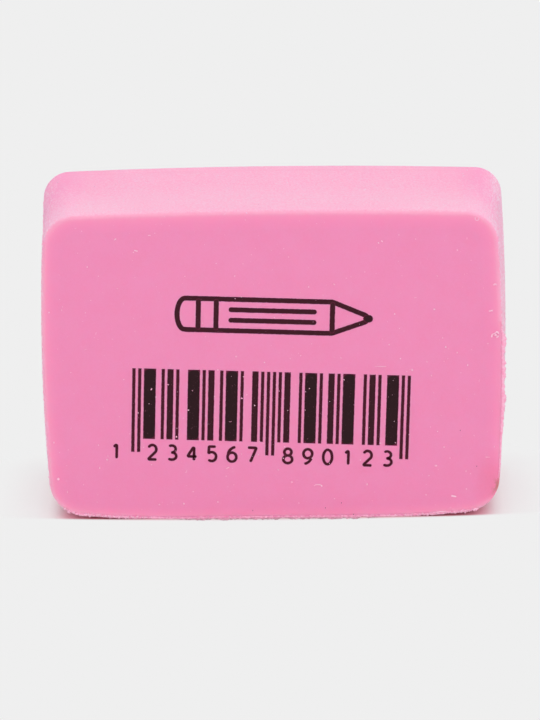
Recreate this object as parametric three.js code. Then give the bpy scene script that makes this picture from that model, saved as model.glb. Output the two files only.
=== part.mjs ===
// Block eraser, standing on its long narrow side.
// The real thing is one block of soft pink vinyl, stamped out of a thick sheet and tumbled in
// talc. Stamping through something this soft leaves the marks that give the block its form:
// the edges bow outwards, the walls flare towards the back face and draw in at the waist, and
// the lips beside the two large faces are rounded.
//
// Millimetres. X runs along the block, Y from the printed face (-Y) to the back face (+Y),
// and Z up. The origin is the middle of the base.

import * as THREE from 'three';

// Driving dimensions of the block
const faceWidth = 41.4; // printed face, across the crowns of its two ends
const faceHeight = 28.95; // printed face, from the base to the crown of the top
const thickness = 13; // printed face to back face
const flare = 0.6; // how much further out the ends and the top stand at the back face

// How far each edge's crown stands outside the line through that edge's ends
const endBow = 0.55;
const topBowAtFront = 0.37;
const topBowAtBack = 0.41;

// The base is flat in the middle and lifts towards both ends
const baseFlatLength = 18;
const baseLift = 0.77; // at the outline's full width, before the corner is rounded

// Corners of the outline
const topCornerAtFront = 3.1;
const topCornerAtBack = 2.5;
const baseCorner = 3.1;

// Section through a wall, from face to face
const frontLipRadius = 0.35;
const backLipRadius = 0.6;
const landWidth = 1.2; // straight strip of wall beside each lip
const waistDepth = 0.18; // how far the wall draws in midway between the lands

// Facets
const cornerSteps = 12;
const endSteps = 14;
const topSteps = 24;
const baseLiftSteps = 7;
const lipSteps = 6;
const waistSteps = 12;

// A point of the outline, in the plane of the printed face
const place = (x, z) => new THREE.Vector2(x, z);

// Radius of the arc that spans twice halfSpan and stands out by bow at its middle
function bowRadius(halfSpan, bow) {
  return (halfSpan ** 2 + bow ** 2) / (2 * bow);
}

// Centre of a corner's arc. It touches two neighbouring arcs from inside, so it is one corner
// radius nearer to each of their centres than they are. Of the two such places, the one nearer
// to the corner itself is meant.
function cornerCentre(arcA, arcB, radius, corner) {
  const reachA = arcA.radius - radius;
  const reachB = arcB.radius - radius;
  const between = arcB.centre.clone().sub(arcA.centre);
  const gap = between.length();
  const along = (reachA ** 2 - reachB ** 2 + gap ** 2) / (2 * gap);
  const across = Math.sqrt(reachA ** 2 - along ** 2);
  const direction = between.normalize();
  const sideways = place(-direction.y, direction.x);
  const foot = arcA.centre.clone().addScaledVector(direction, along);
  const places = [across, -across].map((step) => foot.clone().addScaledVector(sideways, step));
  places.sort((p, q) => p.distanceTo(corner) - q.distanceTo(corner));
  return places[0];
}

// The block's outline at a share of the way from the printed face (0) to the back face (1), as
// arcs in order, anticlockwise as the printed face is looked at. Each touches the next.
function outlineArcs(share) {
  const halfWidth = faceWidth / 2 + flare * share;
  const height = faceHeight + flare * share;
  const topBow = THREE.MathUtils.lerp(topBowAtFront, topBowAtBack, share);
  const topCorner = THREE.MathUtils.lerp(topCornerAtFront, topCornerAtBack, share);

  const endRadius = bowRadius(height / 2, endBow);
  const endCentre = halfWidth - endRadius;
  const right = { centre: place(endCentre, height / 2), radius: endRadius };
  const left = { centre: place(-endCentre, height / 2), radius: endRadius };

  const topRadius = bowRadius(halfWidth, topBow);
  const top = { centre: place(0, height - topRadius), radius: topRadius };

  const halfFlat = baseFlatLength / 2;
  const liftRadius = bowRadius(halfWidth - halfFlat, baseLift);
  const liftRight = { centre: place(halfFlat, liftRadius), radius: liftRadius };
  const liftLeft = { centre: place(-halfFlat, liftRadius), radius: liftRadius };

  const topRight = cornerCentre(right, top, topCorner, place(halfWidth, height));
  const topLeft = cornerCentre(top, left, topCorner, place(-halfWidth, height));
  const lowLeft = cornerCentre(left, liftLeft, baseCorner, place(-halfWidth, 0));
  const lowRight = cornerCentre(liftRight, right, baseCorner, place(halfWidth, 0));

  // Two arcs that touch do so on the line through their centres
  const toward = (arc, corner) => corner.clone().sub(arc.centre).angle();
  const straightDown = 1.5 * Math.PI;
  const edge = (arc, before, after, steps) => {
    return { ...arc, from: toward(arc, before), to: toward(arc, after), steps };
  };
  const rounded = (centre, radius, before, after) => {
    const from = toward(before, centre);
    const to = toward(after, centre);
    return { centre, radius, from, to, steps: cornerSteps };
  };
  const lift = (arc, from, to) => ({ ...arc, from, to, steps: baseLiftSteps });
  return [
    edge(right, lowRight, topRight, endSteps),
    rounded(topRight, topCorner, right, top),
    edge(top, topRight, topLeft, topSteps),
    rounded(topLeft, topCorner, top, left),
    edge(left, topLeft, lowLeft, endSteps),
    rounded(lowLeft, baseCorner, left, liftLeft),
    { ...lift(liftLeft, toward(liftLeft, lowLeft), straightDown), beforeFlat: true },
    lift(liftRight, straightDown, toward(liftRight, lowRight)),
    rounded(lowRight, baseCorner, liftRight, right),
  ];
}

// One ring of points round the block at a depth behind the printed face. An inset ring keeps the
// arcs' centres and takes the inset off their radii.
function ring({ depth, inset }) {
  const y = depth - thickness / 2;
  return outlineArcs(depth / thickness).flatMap((arc) => {
    const radius = arc.radius - inset;
    const curve = new THREE.ArcCurve(arc.centre.x, arc.centre.y, radius, arc.from, arc.to);
    const points = curve.getPoints(arc.steps).map((p) => new THREE.Vector3(p.x, y, p.y));
    // The next arc starts on this one's last point, except across the flat of the base
    return arc.beforeFlat ? points : points.slice(0, -1);
  });
}

// Section through a wall, as stations from the printed face to the back face: a rounded lip, a
// straight land, the drawn-in waist, a land and the other lip.
function wallStations() {
  const quarter = Math.PI / 2;
  const frontLip = [];
  const backLip = [];
  for (let i = 0; i <= lipSteps; i += 1) {
    const turn = (i / lipSteps) * quarter;
    const inward = 1 - Math.sin(turn);
    const alongWall = 1 - Math.cos(turn);
    frontLip.push({ depth: frontLipRadius * alongWall, inset: frontLipRadius * inward });
    backLip.unshift({ depth: thickness - backLipRadius * alongWall, inset: backLipRadius * inward });
  }

  const waistStart = frontLipRadius + landWidth;
  const waistEnd = thickness - backLipRadius - landWidth;
  const waist = [];
  for (let i = 0; i <= waistSteps; i += 1) {
    const share = i / waistSteps;
    const depth = THREE.MathUtils.lerp(waistStart, waistEnd, share);
    const drawnIn = (1 - Math.cos(2 * Math.PI * share)) / 2;
    waist.push({ depth, inset: waistDepth * drawnIn });
  }
  return [...frontLip, ...waist, ...backLip];
}

// Skins the rings into one closed surface and shuts it with the two flat faces
function skin(rings) {
  const count = rings[0].length;
  const last = rings.length - 1;
  const faceCentre = (points) => new THREE.Vector3(0, points[0].y, faceHeight / 2);
  const points = [...rings.flat(), faceCentre(rings[0]), faceCentre(rings[last])];
  const frontCentre = points.length - 2;
  const backCentre = points.length - 1;

  const triangles = [];
  for (let i = 0; i < count; i += 1) {
    const next = (i + 1) % count;
    triangles.push(frontCentre, i, next);
    triangles.push(backCentre, last * count + next, last * count + i);
    for (let r = 0; r < last; r += 1) {
      const here = r * count;
      const behind = here + count;
      triangles.push(here + i, behind + i, here + next);
      triangles.push(here + next, behind + i, behind + next);
    }
  }

  const geometry = new THREE.BufferGeometry().setFromPoints(points);
  geometry.setIndex(triangles);
  geometry.computeVertexNormals();
  return geometry;
}

// The one piece: solid vinyl all through, coloured in the mass
function makeEraserBlock() {
  const pinkVinyl = new THREE.MeshStandardMaterial({
    color: 0xee8db6,
    roughness: 0.55,
    metalness: 0,
  });
  const rings = wallStations().map(ring);
  const mesh = new THREE.Mesh(skin(rings), pinkVinyl);
  mesh.name = 'eraser_block';
  return mesh;
}

const eraser = new THREE.Group();
eraser.name = 'block_eraser';
eraser.add(makeEraserBlock());

export default eraser;
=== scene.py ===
import math

import bpy
from mathutils import Matrix, Vector


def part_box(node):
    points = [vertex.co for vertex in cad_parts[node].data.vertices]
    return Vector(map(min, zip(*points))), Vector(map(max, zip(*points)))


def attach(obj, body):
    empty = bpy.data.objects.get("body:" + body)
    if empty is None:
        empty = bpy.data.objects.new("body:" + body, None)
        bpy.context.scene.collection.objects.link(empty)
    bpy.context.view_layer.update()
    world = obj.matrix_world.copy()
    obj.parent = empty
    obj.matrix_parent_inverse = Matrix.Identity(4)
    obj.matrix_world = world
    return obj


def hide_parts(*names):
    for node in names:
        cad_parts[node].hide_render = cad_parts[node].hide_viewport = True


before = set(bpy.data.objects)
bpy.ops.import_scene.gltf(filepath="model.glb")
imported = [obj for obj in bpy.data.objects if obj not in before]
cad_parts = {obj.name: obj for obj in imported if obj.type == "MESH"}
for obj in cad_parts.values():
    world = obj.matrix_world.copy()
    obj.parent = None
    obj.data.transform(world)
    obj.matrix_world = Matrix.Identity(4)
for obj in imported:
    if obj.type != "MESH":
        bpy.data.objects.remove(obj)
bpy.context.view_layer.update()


# Viewpoint
# A long lens looks a little down on the printed face, almost square to it. The camera is rolled
# by about a degree.

MM = 0.001
aim = Vector((-0.345, 0, 12.88)) * MM
camera_distance = 451.8 * MM
azimuth = math.radians(1.27)
elevation = math.radians(18.05)
roll = math.radians(-1.01)

backward = Vector((
    math.sin(azimuth) * math.cos(elevation),
    -math.cos(azimuth) * math.cos(elevation),
    math.sin(elevation),
))
level_right = Vector((0, 0, 1)).cross(backward).normalized()
level_up = backward.cross(level_right)
camera_right = level_right * math.cos(roll) + level_up * math.sin(roll)
camera_up = level_up * math.cos(roll) - level_right * math.sin(roll)

lens = bpy.data.cameras.new("long_lens")
lens.lens = 248.05
lens.clip_start = 0.01
lens.clip_end = 20
camera = bpy.data.objects.new("camera", lens)
camera.matrix_world = Matrix((camera_right, camera_up, backward)).transposed().to_4x4()
camera.matrix_world.translation = aim + backward * camera_distance
bpy.context.scene.collection.objects.link(camera)
bpy.context.scene.camera = camera


# Sheet and lights
# A seamless pale sheet lies under the block, and runs out to the same pale grey as the surround.
# Two wide soft lamps above and in front leave a faint shadow beside the block and behind it. A red
# glow, painted on the sheet for the camera only, stands for the light that comes through the vinyl
# under the block.

def in_use(sockets, name):
    """The socket of that name which the node's settings leave in use, or of that number."""
    if isinstance(name, int):
        return [socket for socket in sockets if socket.enabled][name]
    return next(socket for socket in sockets if socket.name == name and socket.enabled)


def add_node(tree, kind, inputs=None, **settings):
    """A node of that kind. Each input is given a value, or the field that feeds it."""
    node = tree.nodes.new(kind)
    for name, value in settings.items():
        setattr(node, name, value)
    for name, value in (inputs or {}).items():
        socket = in_use(node.inputs, name)
        if isinstance(value, Field):
            tree.links.new(value.socket, socket)
        else:
            socket.default_value = value
    return node


def field(tree, kind, inputs=None, output=0, **settings):
    """What a new node of that kind puts out."""
    return Field(in_use(add_node(tree, kind, inputs, **settings).outputs, output))


class Field:
    """What a socket carries, to be reckoned with like a number. Each sign adds one node."""

    def __init__(self, socket):
        self.socket = socket
        self.tree = socket.id_data

    def maths(self, operation, first, second=0.0, clamp=False):
        inputs = {0: first, 1: second} if operation not in ONE_INPUT else {0: first}
        return field(self.tree, "ShaderNodeMath", inputs, operation=operation, use_clamp=clamp)

    def __add__(self, other):
        return self.maths("ADD", self, other)

    def __radd__(self, other):
        return self.maths("ADD", other, self)

    def __sub__(self, other):
        return self.maths("SUBTRACT", self, other)

    def __rsub__(self, other):
        return self.maths("SUBTRACT", other, self)

    def __mul__(self, other):
        return self.maths("MULTIPLY", self, other)

    def __rmul__(self, other):
        return self.maths("MULTIPLY", other, self)

    def __truediv__(self, other):
        return self.maths("DIVIDE", self, other)

    def least(self, other):
        return self.maths("MINIMUM", self, other)

    def greatest(self, other):
        return self.maths("MAXIMUM", self, other)

    def __abs__(self):
        return self.maths("ABSOLUTE", self)

    def root(self):
        return self.maths("SQRT", self)

    def cosine(self):
        return self.maths("COSINE", self)

    def from_0_to_1(self):
        return self.maths("ADD", self, 0.0, clamp=True)


ONE_INPUT = ("SQRT", "COSINE", "ABSOLUTE")


def ramp(value, start, end, smooth=False):
    """0 up to the start and 1 from the end on, which may lie below the start."""
    kind = "SMOOTHSTEP" if smooth else "LINEAR"
    inputs = {"Value": value, "From Min": start, "From Max": end}
    return field(value.tree, "ShaderNodeMapRange", inputs, interpolation_type=kind)


def blend(share, first, second):
    """The first colour where the share is 0, and the second where it is 1."""
    inputs = {"Factor": share, "A": first, "B": second}
    return field(share.tree, "ShaderNodeMix", inputs, "Result", data_type="RGBA")


def part(place, axis):
    """How far a place lies along one axis."""
    return field(place.tree, "ShaderNodeSeparateXYZ", {0: place}, axis)


def new_material(name):
    """An empty node material, its tree, and the place on the object that it colours."""
    material = bpy.data.materials.new(name)
    material.use_nodes = True
    tree = material.node_tree
    tree.nodes.clear()
    return material, tree, field(tree, "ShaderNodeTexCoord", output="Object")


def shown_plain(tree):
    """1 for what the camera sees, also in a reflection or through something clear."""
    rays = ("Is Camera Ray", "Is Glossy Ray", "Is Transmission Ray")
    seen, reflected, through = [field(tree, "ShaderNodeLightPath", output=ray) for ray in rays]
    return (seen + reflected + through).from_0_to_1()


def finish_material(tree, shader):
    """Feeds the shader to the material's output."""
    add_node(tree, "ShaderNodeOutputMaterial", {"Surface": shader})


def new_piece(name, vertices, edges=(), faces=()):
    """A mesh object at the origin, with its place in its mesh."""
    mesh = bpy.data.meshes.new(name)
    mesh.from_pydata(vertices, edges, faces)
    piece = bpy.data.objects.new(name, mesh)
    bpy.context.scene.collection.objects.link(piece)
    return piece


sheet_half_size = 2.0
sheet_white = (0.80, 0.80, 0.80, 1)
painted_glow_red = (0.68, 0.23, 0.28, 1)
painted_glow_pale = (0.80, 0.44, 0.50, 1)
backdrop = 0.863
shadow_share = 0.36
shadow_width = 6.0 * MM
shadow_ends = (22.2 * MM, 18.6 * MM)
glow_share = 0.3
glow_width = 1.2 * MM
glow_ends = (21.2 * MM, 18.0 * MM)
red_ends = (16.5 * MM, 18.5 * MM)
half_footprint = (20.7 * MM, 6.5 * MM)
front_edge = 7.3 * MM
front_edge_bow = 0.0024 / MM

# Only the sheet beside, behind and under the block shows the lamps' shading. It ends at the
# block's lower front edge, which bows back towards both ends. The rest shows as plain backdrop.
white_sheet, tree, place = new_material("white_sheet")
x = part(place, "X")
y = part(place, "Y")
beside = (abs(x) - half_footprint[0]).greatest(0.0)
behind = (abs(y) - half_footprint[1]).greatest(0.0)
away = (beside * beside + behind * behind).root()
below = ramp(abs(y), 7.5 * MM, 6.5 * MM)
under = ramp(abs(x), *shadow_ends, smooth=True) * below
shadow = under.greatest(ramp(away, shadow_width, 0.0, smooth=True) * shadow_share)
behind_front = y - x * x * front_edge_bow + front_edge
shadow = shadow * ramp(behind_front, -0.2 * MM, 0.2 * MM)
# A red glow is painted for the camera only, under the block and close beside it, for the light that
# comes through the vinyl.
painted_glow_share = ramp(abs(x), *glow_ends, smooth=True) * below
painted_glow_share = painted_glow_share.greatest(ramp(away, glow_width, 0.0, smooth=True) * glow_share)
painted_glow_share = painted_glow_share * ramp(behind_front, -0.2 * MM, 0.3 * MM)
red = blend(ramp(abs(x), *red_ends), painted_glow_red, painted_glow_pale)
seen = field(tree, "ShaderNodeLightPath", output="Is Camera Ray")
lit = field(tree, "ShaderNodeBsdfDiffuse", {"Color": blend(painted_glow_share * seen, sheet_white, red)})
plain = field(tree, "ShaderNodeEmission", {"Color": (1, 1, 1, 1), "Strength": backdrop})
plain_share = shown_plain(tree) * (1 - shadow)
finish_material(tree, field(tree, "ShaderNodeMixShader", {0: plain_share, 1: lit, 2: plain}))

quarters = ((-1, -1), (1, -1), (1, 1), (-1, 1))
corners = [(x * sheet_half_size, y * sheet_half_size, 0) for x, y in quarters]
sheet = new_piece("sheet", corners, faces=[(0, 1, 2, 3)])
sheet.data.materials.append(white_sheet)

surround_strength = 0.92
world = bpy.data.worlds.new("surround")
world.use_nodes = True
tree = world.node_tree
tree.nodes.clear()
strength = shown_plain(tree) * (backdrop - surround_strength) + surround_strength
surround = field(tree, "ShaderNodeBackground", {"Color": (1, 1, 1, 1), "Strength": strength})
add_node(tree, "ShaderNodeOutputWorld", {"Surface": surround})
bpy.context.scene.world = world
bpy.context.scene.view_settings.view_transform = "Standard"


def add_softbox(name, position, size, power):
    """A square lamp that faces the block."""
    lamp = bpy.data.lights.new(name, "AREA")
    lamp.size = size
    lamp.energy = power
    softbox = bpy.data.objects.new(name, lamp)
    softbox.location = position
    softbox.rotation_euler = Vector(position).to_track_quat("Z", "Y").to_euler()
    bpy.context.scene.collection.objects.link(softbox)


add_softbox("softbox_above", (0.04, -0.25, 0.9), size=0.6, power=0.75)
add_softbox("softbox_front", (0.30, -0.88, 0.5), size=0.5, power=1.65)


# Eraser block
# One block of soft pink vinyl, coloured in the mass and slightly translucent. It is stamped out
# of a thick sheet, which bows its edges, flares and waists its walls and rounds its lips, and is
# then tumbled in talc, which stays on the cut walls.

block_low, block_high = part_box("eraser_block")

# The block's form, in millimetres
flare = 0.6
end_bow = 0.55
top_bow = (0.37, 0.41)
top_corner = (3.1, 2.5)
base_corner = 3.1
base_flat = 18.0
base_lift = 0.77
front_lip = 0.35
back_lip = 0.6
land = 1.2
waist = 0.18

# Share of the front lip's rounding that is torn away, and the heights between which the tear
# sets in, all along the base and up the right end
torn_off = 0.92
torn_base = (3.2, 1.2)
torn_right_share = 0.8
torn_right_end = (18.5, 16.5)

# Steps round the outline
end_steps = 130
top_steps = 190
corner_steps = 32
lift_steps = 56
flat_steps = 90

# The block is largest where the back lip begins
flare_at_back_lip = flare * (1 - back_lip * MM / (block_high.y - block_low.y))
thickness = (block_high.y - block_low.y) / MM
face_width = 2 * (block_high.x / MM - flare_at_back_lip)
face_height = block_high.z / MM - flare_at_back_lip


def bow_radius(half_span, bow):
    """Radius of the arc that stands out by the bow over twice the half span."""
    return (half_span ** 2 + bow ** 2) / (2 * bow)


def corner_centre(arc_a, arc_b, radius, corner):
    """Centre of the arc that rounds a corner and touches both arcs, each (centre, radius)."""
    reach_a = arc_a[1] - radius
    reach_b = arc_b[1] - radius
    between = arc_b[0] - arc_a[0]
    gap = between.length
    along = (reach_a ** 2 - reach_b ** 2 + gap ** 2) / (2 * gap)
    across = math.sqrt(reach_a ** 2 - along ** 2)
    direction = between / gap
    sideways = Vector((-direction.y, direction.x))
    foot = arc_a[0] + direction * along
    places = (foot + sideways * across, foot - sideways * across)
    return min(places, key=lambda place: (place - corner).length)


def outline(back):
    """Points round the printed face's outline, or round the back face's if back is 1. They run
    anticlockwise from the right end, and correspond one by one."""
    half_width = face_width / 2 + flare * back
    height = face_height + flare * back
    end_radius = bow_radius(height / 2, end_bow)
    top_radius = bow_radius(half_width, top_bow[back])
    lift_radius = bow_radius(half_width - base_flat / 2, base_lift)
    right = (Vector((half_width - end_radius, height / 2)), end_radius)
    left = (Vector((end_radius - half_width, height / 2)), end_radius)
    top = (Vector((0, height - top_radius)), top_radius)
    lift_right = (Vector((base_flat / 2, lift_radius)), lift_radius)
    lift_left = (Vector((-base_flat / 2, lift_radius)), lift_radius)

    def rounded(arc_a, arc_b, radius, x, z):
        return (corner_centre(arc_a, arc_b, radius, Vector((x, z))), radius)

    top_right = rounded(right, top, top_corner[back], half_width, height)
    top_left = rounded(top, left, top_corner[back], -half_width, height)
    low_left = rounded(left, lift_left, base_corner, -half_width, 0)
    low_right = rounded(lift_right, right, base_corner, half_width, 0)

    def angle(centre, toward):
        return math.atan2(toward.y - centre.y, toward.x - centre.x)

    def sweep(arc, start, end, steps):
        """Points from the start angle up to the end angle, without the last."""
        centre, radius = arc
        turn = (end - start) % (2 * math.pi) / steps
        angles = [start + turn * step for step in range(steps)]
        return [centre + Vector((math.cos(a), math.sin(a))) * radius for a in angles]

    def edge(arc, before, after, steps):
        return sweep(arc, angle(arc[0], before[0]), angle(arc[0], after[0]), steps)

    def corner(arc, before, after):
        return sweep(arc, angle(before[0], arc[0]), angle(after[0], arc[0]), corner_steps)

    down = -math.pi / 2
    flat = [Vector((base_flat * (step / flat_steps - 0.5), 0)) for step in range(flat_steps)]
    return [
        *edge(right, low_right, top_right, end_steps),
        *corner(top_right, right, top),
        *edge(top, top_right, top_left, top_steps),
        *corner(top_left, top, left),
        *edge(left, top_left, low_left, end_steps),
        *corner(low_left, left, lift_left),
        *sweep(lift_left, angle(lift_left[0], low_left[0]), down, lift_steps),
        *flat,
        *sweep(lift_right, down, angle(lift_right[0], low_right[0]), lift_steps),
        *corner(low_right, lift_right, right),
    ]


def new_geometry_tree(name, sizes):
    """A Geometry Nodes tree that takes a mesh and the named sizes, and puts out a mesh."""
    tree = bpy.data.node_groups.new(name, "GeometryNodeTree")
    tree.interface.new_socket("Mesh", in_out="INPUT", socket_type="NodeSocketGeometry")
    tree.interface.new_socket("Mesh", in_out="OUTPUT", socket_type="NodeSocketGeometry")
    kinds = {float: "NodeSocketFloat", int: "NodeSocketInt"}
    for size, value in sizes.items():
        kind = kinds.get(type(value), "NodeSocketMaterial")
        tree.interface.new_socket(size, in_out="INPUT", socket_type=kind)
    taken = add_node(tree, "NodeGroupInput")
    return tree, {socket.name: Field(socket) for socket in taken.outputs if socket.name}


def finish_geometry_tree(tree, made, material, smooth):
    """Ends a tree: instances are made real, shaded and given their material."""
    made = field(tree, "GeometryNodeRealizeInstances", {"Geometry": made})
    made = field(tree, "GeometryNodeSetShadeSmooth", {"Geometry": made, "Shade Smooth": smooth})
    made = field(tree, "GeometryNodeSetMaterial", {"Geometry": made, "Material": material})
    add_node(tree, "NodeGroupOutput", {"Mesh": made})


def grow(piece, tree, sizes):
    """Runs the tree on the piece with these sizes, and leaves its result as the piece's mesh."""
    modifier = piece.modifiers.new(tree.name, "NODES")
    modifier.node_group = tree
    for item in tree.interface.items_tree:
        if item.name in sizes:
            modifier[item.identifier] = sizes[item.name]
    evaluated = piece.evaluated_get(bpy.context.evaluated_depsgraph_get())
    mesh = bpy.data.meshes.new_from_object(evaluated)
    piece.modifiers.remove(modifier)
    piece.data = mesh
    mesh.name = piece.name
    # A piece that had no material leaves an empty place for one
    if mesh.materials[0] is None:
        mesh.materials.pop(index=0)


def attribute(tree, name, kind="FLOAT"):
    """A named attribute of the mesh, in a Geometry Nodes tree."""
    return field(tree, "GeometryNodeInputNamedAttribute", {"Name": name}, data_type=kind)


def mesh_value(tree, name):
    """A named attribute of the mesh, in a material's tree."""
    return field(tree, "ShaderNodeAttribute", output="Fac", attribute_name=name)


def keep(geometry, name, value, kind="FLOAT"):
    """The geometry, with a value kept at its points under that name."""
    inputs = {"Geometry": geometry, "Name": name, "Value": value}
    return field(geometry.tree, "GeometryNodeStoreNamedAttribute", inputs, data_type=kind)


def put(geometry, position):
    """The geometry, with its points put in other places."""
    inputs = {"Geometry": geometry, "Position": position}
    return field(geometry.tree, "GeometryNodeSetPosition", inputs)


def shift(geometry, offset):
    """The geometry, with its points moved by an offset."""
    inputs = {"Geometry": geometry, "Offset": offset}
    return field(geometry.tree, "GeometryNodeSetPosition", inputs)


def upright(path):
    """The path, turned so that a section swept along it keeps the same side to the front."""
    inputs = {"Curve": path, "Normal": (0, 1, 0)}
    return field(path.tree, "GeometryNodeSetCurveNormal", inputs, mode="FREE")


def swept(path, section, capped=True):
    """The skin that a section leaves behind along a path."""
    inputs = {"Curve": path, "Profile Curve": section, "Fill Caps": capped}
    return field(path.tree, "GeometryNodeCurveToMesh", inputs)


def vector(tree, x=0.0, y=0.0, z=0.0):
    return field(tree, "ShaderNodeCombineXYZ", {"X": x, "Y": y, "Z": z})


def vector_maths(tree, operation, inputs):
    return field(tree, "ShaderNodeVectorMath", inputs, operation=operation)


def scaled(direction, share):
    return vector_maths(direction.tree, "SCALE", {0: direction, "Scale": share})


def noise(place, scale, detail=2.0, roughness=0.5):
    """Noise from 0 to 1, with its main waves 1 / scale apart."""
    inputs = {"Vector": place, "Scale": scale, "Detail": detail, "Roughness": roughness}
    return field(place.tree, "ShaderNodeTexNoise", inputs, "Fac")


pink = (0.875, 0.318, 0.540, 1)
deep_pink = (0.855, 0.255, 0.43, 1)
painted_inner_glow = (0.96, 0.315, 0.535, 1)
painted_rim_glow = (1.0, 0.36, 0.55, 1)
rim_powder_and_highlight = (1.0, 0.78, 0.80, 1)
talc = (0.99, 0.80, 0.885, 1)
grime = (0.50, 0.21, 0.16, 1)
talc_cover = 0.16
worn_line_depth = 11.4 * MM
grime_height = 2.9 * MM
round_corner = (19.0 * MM, 20.4 * MM)

pink_vinyl, tree, place = new_material("pink_vinyl")
x = part(place, "X")
z = part(place, "Z")
depth = part(place, "Y") + thickness / 2 * MM
on_wall = mesh_value(tree, "on_wall")
grain = noise(place, 5500, 3, 0.7)
cloud = noise(place, 260, 3)
drawn_out = vector_maths(tree, "MULTIPLY", {0: place, 1: (1, 0.35, 1)})
streaks = noise(drawn_out, 4600, 3, 0.7)

# The walls are whiter beside the front lip towards the ends, and less white near the back, most
# of all in a worn line beside the back lip. On the end walls the talc clings in streaks along the
# cut.
near_lip = ramp(depth, 5 * MM, 0.0, smooth=True) * ramp(abs(x), 8 * MM, 19 * MM, smooth=True)
near_back = ramp(depth, 3 * MM, 12 * MM) * (0.08 + ramp(abs(x), 13 * MM, 17.5 * MM) * 0.13)
near_back = near_back * (1 - ramp(x, *round_corner) * 1.8)
on_end = ramp(abs(x), *round_corner, smooth=True)
worn_line = ramp(abs(depth - worn_line_depth), 0.5 * MM, 0.0, smooth=True) * cloud
dusting = (talc_cover + near_lip * 0.10 - near_back) * (0.75 + cloud * 0.5) - worn_line * 0.12
dusting = dusting + (grain - 0.5) * (1.1 + on_end * 1.2) + (streaks - 0.5) * 2.0 * on_end
dusting = dusting.from_0_to_1() * ramp(on_wall, 0.5, 1.0, smooth=True)

# The rims of both faces are paler too, partly from powder and partly as a painted highlight. A
# painted glow stands for light that enters through the walls and comes out inside the rims, and
# further in only its red is painted, more strongly near the top. Both are weaker along the base,
# where less light falls, and towards the lower right corner. Where the lip is torn, the rim is
# at its sharp edge.
torn_away = mesh_value(tree, "torn") * (1 - on_wall) * (1 - ramp(z, 2 * MM, 5 * MM) * 0.8)
inset = (mesh_value(tree, "inset") - torn_away * (front_lip * torn_off * MM)).greatest(0.0)
near_lower_right = ramp(x, 17.6 * MM, 20.0 * MM, smooth=True) * ramp(z, 7 * MM, 3.5 * MM, smooth=True)
near_lower_right = near_lower_right * ramp(z, 0.6 * MM, 1.8 * MM)
rim_strength = (0.4 + ramp(z, 0.1 * MM, 0.9 * MM) * 0.6) * (1 - near_lower_right * 0.8)
at_rim = ramp(inset, 0.6 * MM, 0.0)
powder_and_highlight = at_rim * at_rim * (0.25 + grain * 0.5) * (1 - on_wall) * rim_strength
inside_rim = ramp(inset, 1.3 * MM, 0.2 * MM)
at_corner = ramp(abs(x), 16.5 * MM, 19 * MM) * ramp(z, 22 * MM, 25.5 * MM)
glow = inside_rim * inside_rim * rim_strength * (1 - at_corner * on_wall * 0.8)
painted_inner_glow_share = ramp(inset, 1.8 * MM, 0.5 * MM) * (0.6 + ramp(z, 24 * MM, 27 * MM) * 0.4)
painted_inner_glow_share = painted_inner_glow_share * rim_strength * ramp(z, 1 * MM, 4 * MM)

# The colour is deeper and redder towards the lower right corner, and there is some grime on its
# lip. The colour varies a little all over.
mottle = noise(place, 420, 4, 0.6) * 0.4 + grain * 0.6
vinyl = blend((near_lower_right * 0.8 + (mottle - 0.5) * 1.2 + 0.1).from_0_to_1(), pink, deep_pink)
# The painted rim glow and the painted red glow inside it are blended into the colour here.
vinyl = blend(glow, blend(painted_inner_glow_share, vinyl, painted_inner_glow), painted_rim_glow)
at_grime = ramp(abs(z - grime_height), 1.2 * MM, 0.2 * MM) * ramp(inset, 0.8 * MM, 0.25 * MM)
at_grime = at_grime * ramp(x, 18 * MM, 19.6 * MM) * ramp(depth, 1.0 * MM, 0.3 * MM)
grimy = at_grime * ramp(noise(place, 2600, 2, 0.6) + at_grime * 0.25, 0.48, 0.70)
vinyl = blend(grimy * 0.7, blend(powder_and_highlight, vinyl, rim_powder_and_highlight), grime)
fine = noise(place, 14000, 3, 0.6)
relief = field(tree, "ShaderNodeBump", {
    "Height": fine * (0.25 + on_wall * 0.9), "Strength": 0.35, "Distance": 0.02 * MM,
})
finish_material(tree, field(tree, "ShaderNodeBsdfPrincipled", {
    "Base Color": blend(dusting, vinyl, talc),
    "Roughness": 0.6,
    "Specular IOR Level": 0.2,
    "Subsurface Weight": 1.0,
    "Subsurface Radius": (0.8, 0.55, 0.65),
    "Subsurface Scale": 0.2 * MM,
    "Normal": relief,
}))

# The walls' section is swept round the outline. Along the section, the skin closes in from the
# middle of the printed face, runs over the rim and the walls, and closes over the back face.
# Where the die tears the vinyl, the front lip keeps a sharp edge.
block_sizes = {
    "Section points": 100,
    "Thickness": thickness * MM,
    "Face height": face_height * MM,
    "Front lip": front_lip * MM,
    "Back lip": back_lip * MM,
    "Land": land * MM,
    "Waist": waist * MM,
    "Rim strip": 1.6 * MM,
    "Relief": 0.02 * MM,
    "Nicks": 0.13 * MM,
    "Vinyl": pink_vinyl,
}
closing_end, strip_end = 0.06, 0.12


def lip_height(radius, along):
    """How far a round lip stands out, that far along it from the land."""
    return (radius * radius - along * along).greatest(0.0).root()


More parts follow.
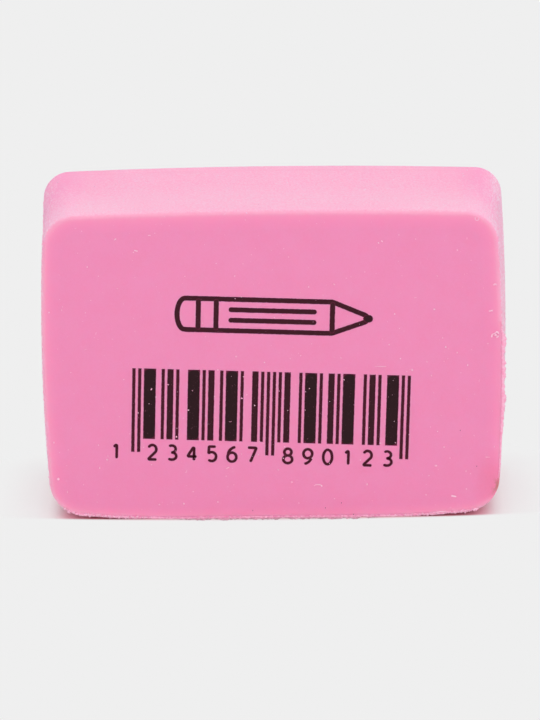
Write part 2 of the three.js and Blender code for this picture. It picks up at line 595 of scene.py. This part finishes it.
tree, size = new_geometry_tree("stamped_block", block_sizes)
section = field(tree, "GeometryNodeCurvePrimitiveLine", {"Start": (0, 0, 0), "End": (1, 0, 0)})
section = {"Curve": section, "Count": size["Section points"]}
section = field(tree, "GeometryNodeResampleCurve", section)
on_section = field(tree, "GeometryNodeSplineParameter", output="Factor")
section = keep(section, "on_section", on_section)
from_end = on_section.least(1 - on_section)
strip = (1 - ramp(from_end, closing_end, strip_end)) * size["Rim strip"]
depth = ramp(on_section, strip_end, 1 - strip_end, smooth=True) * size["Thickness"]
front_round = lip_height(size["Front lip"], (size["Front lip"] - depth).greatest(0.0))
before_back = size["Thickness"] - size["Back lip"]
back_round = lip_height(size["Back lip"], (depth - before_back).greatest(0.0))
waist_start = size["Front lip"] + size["Land"]
waist_end = before_back - size["Land"]
waisted = (1 - (ramp(depth, waist_start, waist_end) * (2 * math.pi)).cosine()) * size["Waist"] * 0.5
inset = (size["Front lip"] - front_round) + (size["Back lip"] - back_round) + waisted + strip
wall = (front_round / size["Front lip"]).least(back_round / size["Back lip"])
section = keep(section, "on_wall", wall)
section = keep(section, "inset", inset)
section = keep(section, "rounding", size["Front lip"] - front_round)
section = put(section, vector(tree, depth, inset))

path = upright(field(tree, "GeometryNodeMeshToCurve", {"Mesh": size["Mesh"]}))
skin = swept(path, section, capped=False)
here = field(tree, "GeometryNodeInputPosition")
y = part(here, "Y")
back_share = y / size["Thickness"] + 0.5
skin = shift(skin, scaled(attribute(tree, "spread", "FLOAT_VECTOR"), back_share))
torn = attribute(tree, "torn")
sharpened = attribute(tree, "rounding") * torn * torn_off
on_lip = ramp(attribute(tree, "inset"), 0.9 * MM, 0.2 * MM) * ramp(back_share, 0.06, 0.02)
nicked = (noise(here, 2300.0, 2) - 0.62) * size["Nicks"] * on_lip * (1 - torn * 0.5)
skin = shift(skin, scaled(attribute(tree, "outwards", "FLOAT_VECTOR"), sharpened + nicked))
on_section = attribute(tree, "on_section")
closed_in = field(tree, "ShaderNodeMix", {
    "Factor": ramp(on_section.least(1 - on_section), 0.0, closing_end),
    "A": vector(tree, 0.0, y, size["Face height"] * 0.5),
    "B": here,
}, data_type="VECTOR")
skin = put(skin, closed_in)
skin = field(tree, "GeometryNodeMergeByDistance", {"Geometry": skin, "Distance": 0.001 * MM})
waves = noise(here, 350.0, 2) + noise(here, 2500.0, 1) * 0.3 - 1.3
lift = attribute(tree, "on_wall") * waves * size["Relief"]
skin = shift(skin, scaled(field(tree, "GeometryNodeInputNormal"), lift))
finish_geometry_tree(tree, skin, size["Vinyl"], smooth=True)


def share_between(value, start, end):
    """0 up to the start and 1 from the end on, like the nodes' ramp."""
    return min(max((value - start) / (end - start), 0.0), 1.0)


def torn_share(p):
    """How much of the front lip's rounding is torn away at a point of the outline."""
    on_base = share_between(p.y, *torn_base)
    up_right_end = torn_right_share * share_between(p.y, *torn_right_end) if p.x > 0 else 0.0
    return max(on_base, up_right_end)


front_outline, back_outline = outline(0), outline(1)
count = len(front_outline)
lip = [Vector((p.x, -thickness / 2, p.y)) * MM for p in front_outline]
block = new_piece("eraser_block_skin", lip, [(i, (i + 1) % count) for i in range(count)])
along = [(front_outline[(i + 1) % count] - front_outline[i - 1]).normalized() for i in range(count)]
for name, vectors in (
    ("spread", [(back - front) * MM for front, back in zip(front_outline, back_outline)]),
    ("outwards", [Vector((direction.y, -direction.x)) for direction in along]),
):
    values = [value for vector_xz in vectors for value in (vector_xz.x, 0, vector_xz.y)]
    block.data.attributes.new(name, "FLOAT_VECTOR", "POINT").data.foreach_set("vector", values)
torn_shares = [torn_share(p) for p in front_outline]
block.data.attributes.new("torn", "FLOAT", "POINT").data.foreach_set("value", torn_shares)
grow(block, tree, block_sizes)

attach(block, "root")
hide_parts("eraser_block")


# Printed bars
# A field of bars in black-brown ink, pad printed on the front face a little askew. The widths
# follow a plain rule and stand for nothing. The ink is thinner and redder along its edges.

print_tilt = math.radians(2.3)
print_origin = Vector((-0.065, 13.875))
film = 0.012
layers = 5
layer_step = 0.0004
module = 0.2631
ink_spread = 0.03
bar_length, guard_length = 6.68, 7.95
bar_cycle = (4, 1, 2, 1)
gap_cycle = (1, 2, 1, 1, 3, 1)
bars_per_half = 12

edge_ink = (0.14, 0.016, 0.045, 1)
thin_ink = (0.062, 0.008, 0.018, 1)
full_ink = (0.024, 0.007, 0.010, 1)
pinhole = (0.30, 0.12, 0.18, 1)


def matt(colour, roughness, specular):
    """A matt shader of that colour."""
    return field(colour.tree, "ShaderNodeBsdfPrincipled", {
        "Base Color": colour, "Roughness": roughness, "Specular IOR Level": specular,
    })


print_ink, tree, place = new_material("print_ink")
patchy = mesh_value(tree, "width") + noise(place, 2600, 3) * (0.3 * MM)
ink = blend(ramp(patchy, 0.35 * MM, 0.95 * MM), thin_ink, full_ink)
ink = blend(ramp(mesh_value(tree, "from_edge"), 0.01 * MM, 0.06 * MM), edge_ink, ink)
ink = blend(ramp(noise(place, 9000, 2), 0.70, 0.80), ink, pinhole)
finish_material(tree, matt(ink, roughness=0.6, specular=0.12))

print_sizes = {
    "Film": film * MM,
    "Step": 0.08 * MM,
    "Corner radius": 0.0,
    "Round ends": 0.0,
    "Ragged": 0.03 * MM,
    "Ink": print_ink,
}


def stepped(path, step):
    """The path in even steps."""
    inputs = {"Curve": path, "Length": step}
    return field(path.tree, "GeometryNodeResampleCurve", inputs, mode="LENGTH")


def to_nearer_end(tree):
    """Length of the path from here to the nearer of its ends."""
    from_start = field(tree, "GeometryNodeSplineParameter", output="Length")
    whole = field(tree, "GeometryNodeSplineLength", output="Length")
    return from_start.least(whole - from_start)


# A flat section is swept along each stroke and stretched to the stroke's width, which shrinks
# in a half circle where the ends are round.
tree, size = new_geometry_tree("pad_print", print_sizes)
path = field(tree, "GeometryNodeMeshToCurve", {"Mesh": size["Mesh"]})
path = field(tree, "GeometryNodeFilletCurve", {
    "Curve": path, "Radius": size["Corner radius"], "Count": 6, "Limit Radius": True,
}, mode="POLY")
path = upright(stepped(path, size["Step"]))
here = field(tree, "GeometryNodeInputPosition")
width = attribute(tree, "width") * MM
closed = field(tree, "GeometryNodeInputSplineCyclic")
to_end = to_nearer_end(tree) + closed
short = 1 - (to_end / (width * 0.5)).least(1.0)
rounding = 1 - (1 - (1 - short * short).greatest(0.0).root()) * size["Round ends"]
path = keep(path, "centre", here, "FLOAT_VECTOR")
path = keep(path, "width", width * rounding)
path = keep(path, "to_end", to_end)
section = {"Width": size["Film"], "Height": 1 * MM}
section = field(tree, "GeometryNodeCurvePrimitiveQuadrilateral", section)
section = field(tree, "GeometryNodeSubdivideCurve", {"Curve": section, "Cuts": 1})
section = keep(section, "across", part(here, "Y") / MM)
stroke = swept(path, section)
width = attribute(tree, "width")
from_side = (0.5 - abs(attribute(tree, "across"))) * width
stroke = keep(stroke, "from_edge", from_side.least(attribute(tree, "to_end")))
centre = attribute(tree, "centre", "FLOAT_VECTOR")
off_centre = vector_maths(tree, "SUBTRACT", {0: here, 1: centre})
stretch = vector(tree, width / MM, 1.0, width / MM)
stretched = vector_maths(tree, "MULTIPLY_ADD", {0: off_centre, 1: stretch, 2: centre})
stroke = put(stroke, stretched)
elsewhere = vector_maths(tree, "ADD", {0: here, 1: (1, 1, 1)})
wander_x = (noise(here, 4500.0, 2) - 0.5) * size["Ragged"] * 2
wander_z = (noise(elsewhere, 4500.0, 2) - 0.5) * size["Ragged"] * 2
stroke = shift(stroke, vector(tree, wander_x, 0.0, wander_z))
finish_geometry_tree(tree, stroke, size["Ink"], smooth=False)
pad_print = tree


def on_face(point, layer):
    """A place of the print, in millimetres from its origin, on the front face."""
    x, z = point
    x, z = (
        x * math.cos(print_tilt) + z * math.sin(print_tilt),
        z * math.cos(print_tilt) - x * math.sin(print_tilt),
    )
    return Vector((print_origin.x + x, -thickness / 2 - layer, print_origin.y + z)) * MM


def new_strokes(name, strokes):
    """A piece of bare lines along strokes, each (places, width, closed)."""
    vertices, edges, widths = [], [], []
    for places, width, closed in strokes:
        first = len(vertices)
        last = first + len(places) - 1
        vertices += places
        widths += [width] * len(places)
        edges += [(i, i + 1) for i in range(first, last)]
        if closed:
            edges.append((last, first))
    piece = new_piece(name, vertices, edges)
    piece.data.attributes.new("width", "FLOAT", "POINT").data.foreach_set("value", widths)
    return piece


def add_print(name, strokes, sizes):
    """Prints strokes, each (points, width, closed), as thin films of ink. Neighbouring strokes
    lie in different layers, so that none of their faces coincide where they cross."""
    printed = []
    for number, (points, width, closed) in enumerate(strokes):
        layer = number % layers * layer_step
        printed.append(([on_face(point, layer) for point in points], width, closed))
    piece = new_strokes(name, printed)
    grow(piece, pad_print, {**print_sizes, **sizes})
    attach(piece, "root")


half_field = []
for i in range(bars_per_half):
    half_field += [gap_cycle[i % len(gap_cycle)], bar_cycle[i % len(bar_cycle)]]
guard, middle_guard = [1, 1, 1], [1, 1, 1, 1, 1]
runs = guard + half_field + middle_guard + half_field[::-1] + guard
guards = (0, 1, 14, 15, 28, 29)

bars = []
along = -sum(runs) / 2
for index, run in enumerate(runs):
    if index % 2 == 0:
        x = (along + run / 2) * module
        length = guard_length if len(bars) in guards else bar_length
        bars.append((((x, 0), (x, -length)), run * module + ink_spread, False))
    along += run
add_print("print_bars", bars, {})


# Printed numbers
# Thirteen plain digits in ascending order under the bars, drawn with one even stroke like
# stencil-pen figures and printed in the same pass.

digit_stroke = 0.26
digit_width, digit_height = 0.86, 1.38
digit_base = -8.63
lone_digit = -13.88
left_group, right_group = (-10.60, -1.60), (1.64, 10.63)
digits_per_group = 6
degrees_per_step = 12


def arc(x, z, radius_x, radius_z, start, end):
    """Points along an ellipse's arc, by degrees."""
    steps = max(4, round(abs(end - start) / degrees_per_step))
    angles = [math.radians(start + (end - start) * step / steps) for step in range(steps + 1)]
    return [(x + radius_x * math.cos(a), z + radius_z * math.sin(a)) for a in angles]


def turned(points):
    return [(-x, 1 - z) for x, z in points]


# Strokes of each digit, in a box from -0.5 to 0.5 across and from 0 to 1 up
bowl = arc(0, 0.31, 0.46, 0.31, 0, 348)
stem = arc(0.34, 0.31, 0.80, 0.69, 88, 165)
digit_strokes = {
    0: [(arc(0, 0.5, 0.46, 0.5, 0, 348), True)],
    1: [([(-0.26, 0.78), (0.08, 1), (0.08, 0)], False)],
    2: [(arc(0, 0.7, 0.42, 0.3, 160, -35) + [(-0.46, 0), (0.48, 0)], False)],
    3: [(arc(-0.04, 0.76, 0.40, 0.24, 140, -90) + arc(-0.04, 0.27, 0.47, 0.25, 90, -140), False)],
    4: [([(0.5, 0.28), (-0.48, 0.28), (0.2, 1), (0.2, 0)], False)],
    5: [([(0.4, 1), (-0.32, 1), (-0.38, 0.52)] + arc(-0.03, 0.31, 0.46, 0.31, 125, -140), False)],
    6: [(bowl, True), (stem, False)],
    7: [([(-0.46, 1), (0.46, 1), (-0.16, 0)], False)],
    8: [(arc(0, 0.765, 0.37, 0.235, 0, 348), True), (arc(0, 0.265, 0.46, 0.265, 0, 348), True)],
    9: [(turned(bowl), True), (turned(stem), False)],
}

digit_places = [lone_digit]
for first, last in (left_group, right_group):
    for i in range(digits_per_group):
        digit_places.append(first + (last - first) * i / (digits_per_group - 1))
digits = []
for number, x in enumerate(digit_places, start=1):
    for points, closed in digit_strokes[number % 10]:
        placed = [(x + u * digit_width, digit_base + v * digit_height) for u, v in points]
        digits.append((placed, digit_stroke, closed))
add_print("print_digits", digits, {
    "Step": 0.04 * MM, "Corner radius": 0.06 * MM, "Round ends": 1.0, "Ragged": 0.02 * MM,
})


# Printed pencil
# A plain pencil in outline over the bars, with an eraser, a ferrule, three sides and a point.
# It is drawn with one broad stroke with round ends.

pencil_stroke = 0.46
pencil_low, pencil_high = 3.78, 6.72
pencil_end, pencil_shoulder, pencil_tip = -8.6, 5.3, 9.05
end_rounding = 0.7
ferrule = (-6.7, -5.1)
side_start, side_end = -4.0, 3.9
lead_from_tip = (1.0, 0.1)
lead_width = 0.7

middle_line = (pencil_low + pencil_high) / 2
half_height = (pencil_high - pencil_low) / 2
rounded_from = pencil_end + half_height * 0.5
pencil_outline = [
    (pencil_shoulder, pencil_high),
    (rounded_from, pencil_high),
    *arc(pencil_end + end_rounding, middle_line, end_rounding, half_height, 90, 270)[1:-1],
    (rounded_from, pencil_low),
    (pencil_shoulder, pencil_low),
    (pencil_tip, middle_line),
]
pencil = [(pencil_outline, pencil_stroke, True)]
for x in (*ferrule, pencil_shoulder):
    pencil.append((((x, pencil_low), (x, pencil_high)), pencil_stroke, False))
for share in (1 / 3, 2 / 3):
    z = pencil_low + (pencil_high - pencil_low) * share
    pencil.append((((side_start, z), (side_end, z)), pencil_stroke, False))
lead = [(pencil_tip - back, middle_line) for back in lead_from_tip]
pencil.append((lead, lead_width, False))
add_print("print_pencil", pencil, {
    "Step": 0.05 * MM, "Corner radius": 0.35 * MM, "Round ends": 1.0,
})


# Torn burr
# Where the stamping die goes through last, it tears the vinyl instead of cutting it. It leaves a
# thin ragged burr of the same vinyl on the front lip, along the base and up the right end. In the
# middle of the base the block's weight bends it forward onto the sheet.

torn_pink = (0.84, 0.27, 0.48, 1)
torn_pale = (0.97, 0.55, 0.71, 1)
soiled_and_shaded = (0.50, 0.28, 0.34, 1)

torn_vinyl, tree, place = new_material("torn_vinyl")
tatter = noise(place, 3500, 3, 0.7)
# Along the base the burr is darker, and higher up the right end it takes on the painted rim glow.
colour = blend(ramp(part(place, "Z"), 1.5 * MM, 3.5 * MM) * 0.6, torn_pink, painted_rim_glow)
colour = blend(ramp(tatter + mesh_value(tree, "outer") * 0.22, 0.46, 0.80), colour, torn_pale)
# Where the burr lies on the sheet under the lip, it is partly soiled and partly painted in contact
# shade.
on_sheet = ramp(part(place, "Y"), -6.55 * MM, -6.85 * MM)
colour = blend(on_sheet * ramp(tatter, 0.72, 0.44), colour, soiled_and_shaded)
finish_material(tree, matt(colour, roughness=0.6, specular=0.2))

burr_sizes = {
    "Step": 0.06 * MM,
    "Thickness": 0.07 * MM,
    "Root": 0.17 * MM,
    "Reach along the base": 0.06 * MM,
    "Forward on the sheet": 0.50 * MM,
    "Reach up the right end": 0.26 * MM,
    "Protrusion": 0.08 * MM,
    "Taper": 1.5 * MM,
    "Crumple": 0.10 * MM,
    "Lump": 0.29 * MM,
    "Between lumps": 0.09 * MM,
    "Vinyl": torn_vinyl,
}
burr_depth = 0.03
burr_on_base = (-19.2, 18.4)
burr_up_right_end = (2.2, 18.4)
top_of_base = 2.0
lowest_lump = 0.003


def between(first, second, share):
    return first + (second - first) * share


def at_random(tree, low, high, seed):
    inputs = {"Min": low, "Max": high, "Seed": seed}
    return field(tree, "FunctionNodeRandomValue", inputs, data_type="FLOAT")


def join(first, second):
    """Two geometries as one."""
    joined = add_node(first.tree, "GeometryNodeJoinGeometry")
    for geometry in (first, second):
        first.tree.links.new(geometry.socket, joined.inputs[0])
    return Field(joined.outputs[0])


# A flat section is swept along the lip. Its root is inside the block, and its edge stands a little
# in front of the face and reaches out by a noise that tears it. What would go below the sheet
# turns forward over it.
tree, size = new_geometry_tree("torn_burr", burr_sizes)
path = field(tree, "GeometryNodeMeshToCurve", {"Mesh": size["Mesh"]})
path = upright(stepped(path, size["Step"]))
here = field(tree, "GeometryNodeInputPosition")
x = part(here, "X")
z = part(here, "Z")
in_middle = ramp(abs(x), 10.5 * MM, 7.5 * MM, smooth=True)
along_base = between(size["Reach along the base"], size["Forward on the sheet"], in_middle)
up_end = size["Reach up the right end"] * ramp(z, 7 * MM, 11 * MM)
reach = between(along_base, up_end, ramp(z, 1.0 * MM, 2.0 * MM))
left_on = ramp(noise(here, 800.0, 2), 0.30, 0.45)
teeth = ramp(noise(here, 2100.0, 3, 0.75), 0.32, 0.66) * 0.9 + 0.45
taper = (to_nearer_end(tree) / size["Taper"]).least(1.0)
path = keep(path, "centre", here, "FLOAT_VECTOR")
path = keep(path, "breadth", (size["Root"] + reach * left_on * teeth) * taper)
section = {"Width": size["Thickness"], "Height": 1 * MM}
section = field(tree, "GeometryNodeCurvePrimitiveQuadrilateral", section)
section = field(tree, "GeometryNodeSubdivideCurve", {"Curve": section, "Cuts": 2})
section = shift(section, (0, -1.5 * MM, 0))
burr = swept(path, section)
centre = attribute(tree, "centre", "FLOAT_VECTOR")
off_centre = vector_maths(tree, "SUBTRACT", {0: here, 1: centre})
outward = vector_maths(tree, "MULTIPLY", {0: off_centre, 1: (1, 0, 1)})
out_length = field(tree, "ShaderNodeVectorMath", {0: outward}, "Value", operation="LENGTH")
burr = keep(burr, "outer", out_length / MM - 1)
across = attribute(tree, "outer")
distance = across * attribute(tree, "breadth") - size["Root"]
placed = vector_maths(tree, "ADD", {0: centre, 1: scaled(outward, distance / out_length)})
straight_z = part(placed, "Z")
lowest = size["Thickness"] * 0.6
forward = (lowest - straight_z).greatest(0.0)
bent = (forward / size["Thickness"]).least(1.0)
uneven = 0.4 + noise(placed, 3800.0, 2) * 1.2
to_back = part(off_centre, "Y") * (1.1 - across * 0.5) * uneven
crumple = (noise(placed, 2600.0, 2) - 0.5) * size["Crumple"] - size["Protrusion"]
bent_y = part(placed, "Y") + to_back * (1 - bent) + crumple * across - forward
bent_z = straight_z.greatest(lowest) - to_back * bent
burr = put(burr, vector(tree, part(placed, "X"), bent_y, bent_z))

# Lumps of torn vinyl stick to the lip along the base, larger towards its ends. What would go into
# the sheet is flattened on it.
spots = field(tree, "GeometryNodeCurveToPoints", {
    "Curve": path, "Length": size["Between lumps"],
}, mode="LENGTH")
to_front = at_random(tree, -0.12 * MM, -0.06 * MM, 31)
upwards = at_random(tree, -0.02 * MM, 0.13 * MM, 32)
spots = shift(spots, vector(tree, 0.0, to_front, upwards))
share = at_random(tree, 0.0, 1.0, 33)
largest = (0.35 + ramp(abs(x), 8.5 * MM, 12.5 * MM) * 0.65) * ramp(z, 2.0 * MM, 1.2 * MM)
lump = field(tree, "GeometryNodeMeshIcoSphere", {"Radius": size["Lump"] * 0.5, "Subdivisions": 2})
lumps = field(tree, "GeometryNodeInstanceOnPoints", {
    "Points": spots,
    "Instance": keep(lump, "outer", 1.0),
    "Scale": (0.3 + share * share * 0.7) * largest,
})
lumps = field(tree, "GeometryNodeRealizeInstances", {"Geometry": lumps})
swell = (noise(here, 7000.0, 2) - 0.5) * size["Lump"] * 0.9
lumps = shift(lumps, scaled(field(tree, "GeometryNodeInputNormal"), swell))
lumps = shift(lumps, vector(tree, 0.0, 0.0, (lowest_lump * MM - z).greatest(0.0)))
finish_geometry_tree(tree, join(burr, lumps), size["Vinyl"], smooth=True)

base_low, base_high = burr_on_base
end_low, end_high = burr_up_right_end
on_base = [p for p in front_outline if p.y < top_of_base and base_low < p.x < base_high]
on_right_end = [p for p in front_outline[:end_steps] if end_low < p.y < end_high]
lip = [Vector((p.x, burr_depth - thickness / 2, p.y)) * MM for p in on_base + on_right_end]
edges = [(i, i + 1) for i in range(len(lip) - 1) if i != len(on_base) - 1]
burr = new_piece("torn_burr", lip, edges)
grow(burr, tree, burr_sizes)
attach(burr, "root")


# Lint and crumbs
# Talc, short pale fibres and crumbs of vinyl cling to the whole block. Most lie at random. The
# crumbs and hairs that catch the eye are placed one by one, and so are a few specks of ink.

lint_pale = (1.0, 0.66, 0.79, 1)
lint_pink = (0.97, 0.46, 0.65, 1)
per_square_metre = 1e6

talc_and_crumbs, tree, place = new_material("talc_and_crumbs")
colour = blend(ramp(noise(place, 1500, 2), 0.40, 0.60), lint_pink, lint_pale)
finish_material(tree, matt(colour, roughness=0.7, specular=0.3))

lint_sizes = {
    "Fibres per sq mm": 0.03,
    "Crumbs per sq mm": 0.36,
    "Fibre length": 0.34 * MM,
    "Fibre thickness": 0.05 * MM,
    "Crumb size": 0.085 * MM,
    "On the walls": 0.0,
    "Seed": 4,
    "Material": talc_and_crumbs,
}

tree, size = new_geometry_tree("scattered_lint", lint_sizes)
here = field(tree, "GeometryNodeInputPosition")
on_end = ramp(abs(part(here, "X")), 18.5 * MM, 20.3 * MM)
above_base = ramp(part(here, "Z"), 0.3 * MM, 0.8 * MM)
on_wall = ramp(attribute(tree, "on_wall"), 0.4, 0.9)
on_walls = on_wall * between(0.25, 1.0, on_end)
on_these = between(1 - on_wall, on_walls, size["On the walls"]) * above_base
bend = field(tree, "GeometryNodeCurveArc", {
    "Resolution": 7, "Radius": size["Fibre length"] * 0.55, "Sweep Angle": math.radians(110),
})
round_section = {"Resolution": 4, "Radius": size["Fibre thickness"] * 0.5}
fibre = swept(bend, field(tree, "GeometryNodeCurvePrimitiveCircle", round_section))
crumb = {"Radius": size["Crumb size"] * 0.5, "Subdivisions": 1}
crumb = field(tree, "GeometryNodeMeshIcoSphere", crumb)


def scattered(shape, per_sq_mm, seed, smallest, largest):
    """Copies of a shape all over the mesh, each turned, stretched and sized at random."""
    spread = add_node(tree, "GeometryNodeDistributePointsOnFaces", {
        "Mesh": size["Mesh"], "Density": on_these * per_sq_mm * per_square_metre, "Seed": seed,
    }, distribute_method="RANDOM")
    turn = vector(tree, 0.0, 0.0, at_random(tree, 0.0, 2 * math.pi, seed + 1))
    turn = field(tree, "FunctionNodeRotateRotation", {
        "Rotation": Field(spread.outputs["Rotation"]),
        "Rotate By": field(tree, "FunctionNodeEulerToRotation", {"Euler": turn}),
    }, rotation_space="LOCAL")
    whole = at_random(tree, 0.0, 1.0, seed + 2)
    whole = smallest + whole * whole * whole * (largest - smallest)
    along = at_random(tree, 0.7, 1.5, seed + 3)
    across = at_random(tree, 0.6, 1.1, seed + 4)
    stretch = vector(tree, along, across, 0.7)
    return field(tree, "GeometryNodeInstanceOnPoints", {
        "Points": Field(spread.outputs["Points"]), "Instance": shape, "Rotation": turn,
        "Scale": scaled(stretch, whole),
    })


fibres = scattered(fibre, size["Fibres per sq mm"], size["Seed"], smallest=0.35, largest=1.0)
crumbs = scattered(crumb, size["Crumbs per sq mm"], size["Seed"] + 10, smallest=0.6, largest=2.1)
finish_geometry_tree(tree, join(fibres, crumbs), size["Material"], smooth=True)


def add_lint(name, changes):
    """Lint of these sizes, scattered over the block."""
    lint = bpy.data.objects.new(name, block.data.copy())
    bpy.context.scene.collection.objects.link(lint)
    grow(lint, tree, {**lint_sizes, **changes})
    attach(lint, "root")


add_lint("lint_on_faces", {})
add_lint("talc_on_walls", {
    "Crumbs per sq mm": 2.9, "Crumb size": 0.075 * MM, "On the walls": 1.0, "Seed": 7,
})

# Each hair or crumb that is placed has its path on the front face and its thickness
crumb_on_corner = [(18.4 + u, 28.03 + v) for u, v in arc(0, 0, 0.17, 0.20, 150, 395)]
claw_at_right = [
    (19.67, 16.95), (19.70, 17.12), (19.80, 17.24), (19.97, 17.30), (20.12, 17.42), (20.24, 17.39),
    (20.28, 17.26),
]
curl_below = [(3.94 + u, 2.97 + v) for u, v in arc(0, 0, 0.36, 0.14, 170, -30)]
threads = [
    (crumb_on_corner, 0.07),
    (claw_at_right, 0.13),
    (((19.93, 17.16), (20.12, 17.14)), 0.20),
    (((20.28, 17.08), (20.22, 16.96), (20.10, 16.92)), 0.12),
    (((19.27, 16.3), (19.40, 16.38)), 0.09),
    (((20.55, 17.62), (20.64, 17.65)), 0.10),
    (curl_below, 0.09),
    (((9.2, 14.32), (9.7, 14.27), (10.2, 14.28)), 0.045),
    (((15.98, 1.92), (16.25, 1.86), (16.42, 1.83)), 0.15),
    (((-19.6, 3.97), (-19.48, 3.84)), 0.22),
    (((19.1, 5.58), (19.5, 5.57)), 0.07),
    (((14.5, 4.81), (14.72, 4.81)), 0.15),
    (((1.5, 3.36), (1.66, 3.42)), 0.18),
    (((-4.36, 4.72), (-4.06, 4.86)), 0.08),
    (((18.02, 0.60), (18.25, 0.62), (18.42, 0.66)), 0.17),
    (((14.3, 0.33), (14.9, 0.37), (15.5, 0.40)), 0.09),
    (((19.85, 21.8), (20.0, 21.93), (20.14, 21.82)), 0.15),
    (((19.42, 19.37), (19.76, 19.44)), 0.14),
    (((-12.12, 25.41), (-11.82, 25.33)), 0.10),
    (((-10.87, 26.8), (-10.63, 26.78)), 0.09),
]
lone_crumbs = [
    (15.4, 14.73), (17.52, 14.33), (16.57, 15.52), (17.51, 26.18), (15.35, 6.59), (19.88, 6.59),
    (15.88, 5.55), (17.32, 4.26), (-15.76, 4.93), (-18.75, 2.66), (-19.83, 7.39),
]
crumb_reach, crumb_width = 0.04, 0.15
threads += [(((x - crumb_reach, z), (x + crumb_reach, z)), crumb_width) for x, z in lone_crumbs]

thread_rise = 0.3
thread_sizes = {"Step": 0.05 * MM, "Material": talc_and_crumbs}
tree, size = new_geometry_tree("threads", thread_sizes)
path = field(tree, "GeometryNodeMeshToCurve", {"Mesh": size["Mesh"]})
path = stepped(path, size["Step"])
uneven = 0.55 + noise(field(tree, "GeometryNodeInputPosition"), 6000.0, 2) * 0.9
radius = attribute(tree, "width") * uneven * 0.5
path = field(tree, "GeometryNodeSetCurveRadius", {"Curve": path, "Radius": radius})
round_section = {"Resolution": 8, "Radius": 1 * MM}
round_section = field(tree, "GeometryNodeCurvePrimitiveCircle", round_section)
thread = field(tree, "GeometryNodeCurveToMesh", {
    "Curve": path, "Profile Curve": round_section, "Scale": radius, "Fill Caps": True,
})
finish_geometry_tree(tree, thread, size["Material"], smooth=True)


def add_threads(name, threads, changes):
    """Threads along their paths on the front face, each (points, thickness). They are sunk a
    little way into the face."""
    laid = []
    for points, width in threads:
        y = -thickness / 2 - width * thread_rise
        laid.append(([Vector((x, y, z)) * MM for x, z in points], width, False))
    piece = new_strokes(name, laid)
    grow(piece, tree, {**thread_sizes, **changes})
    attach(piece, "root")


add_threads("hairs_and_crumbs", threads, {})

# The specks of ink, in a line each
speck_length, speck_width = 0.09, 0.045
speck_places = [(16.82, 8.1), (18.29, 4.66), (-2.0, 0.64), (4.58, 0.82), (6.03, 1.28), (7.13, 0.16)]
specks = [(((x, z), (x, z + speck_length)), speck_width) for x, z in speck_places]
add_threads("dark_specks", specks, {"Material": print_ink})
